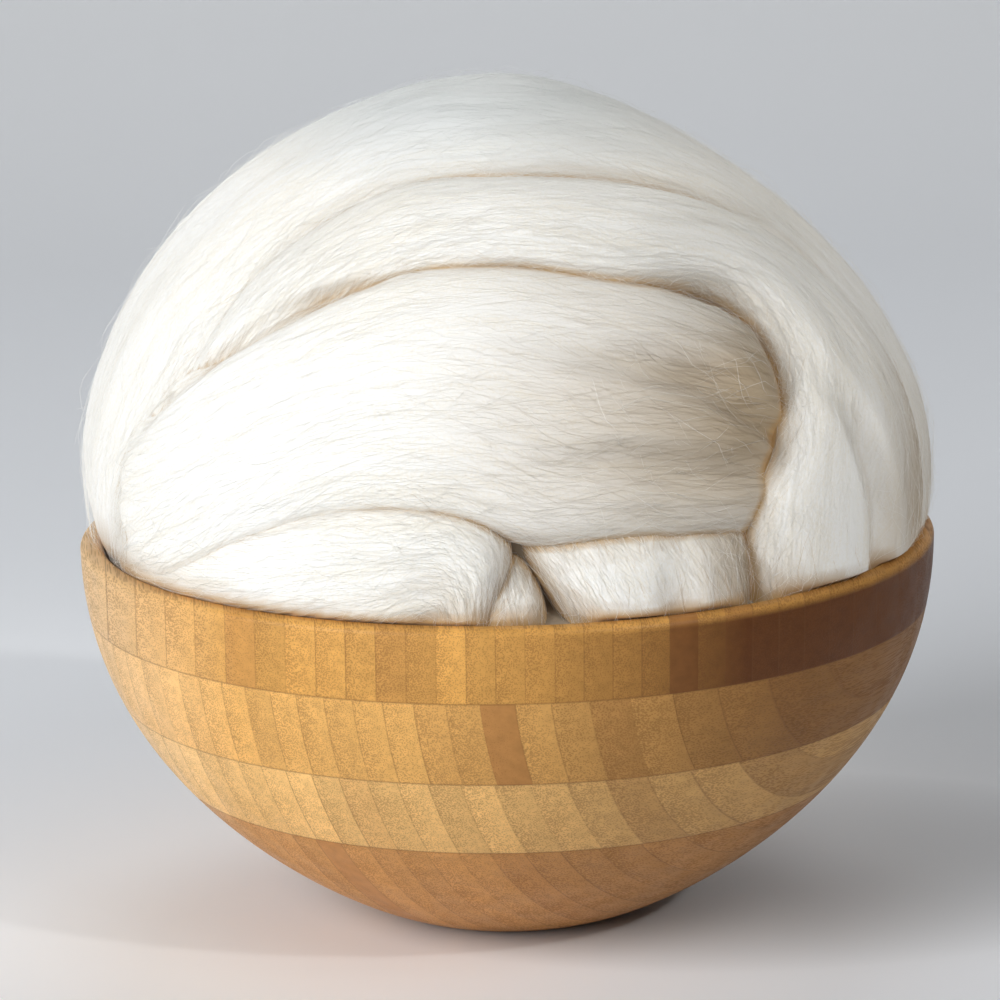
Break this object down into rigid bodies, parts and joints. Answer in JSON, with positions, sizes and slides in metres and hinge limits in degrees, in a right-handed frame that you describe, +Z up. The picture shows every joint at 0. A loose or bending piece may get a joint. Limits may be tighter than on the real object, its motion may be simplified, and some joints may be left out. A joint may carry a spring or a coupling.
{
  "type": "alpaca top in a bamboo bowl",
  "caption": "Loosely wound ball of combed cream alpaca top, seated in and bulging over a turned laminated bamboo bowl.",
  "frame": {"origin": "centre of the bowl's flat foot", "axes": "+Z up through the bowl, -Y is the front that shows the folds"},
  "size_m": [0.2, 0.2, 0.197],
  "materials": {
    "bamboo": "satin",
    "fibre": "matte"
  },
  "bodies": {
    "root": {"bowl": "bamboo", "wound_top": "fibre"}
  },
  "joints": []
}
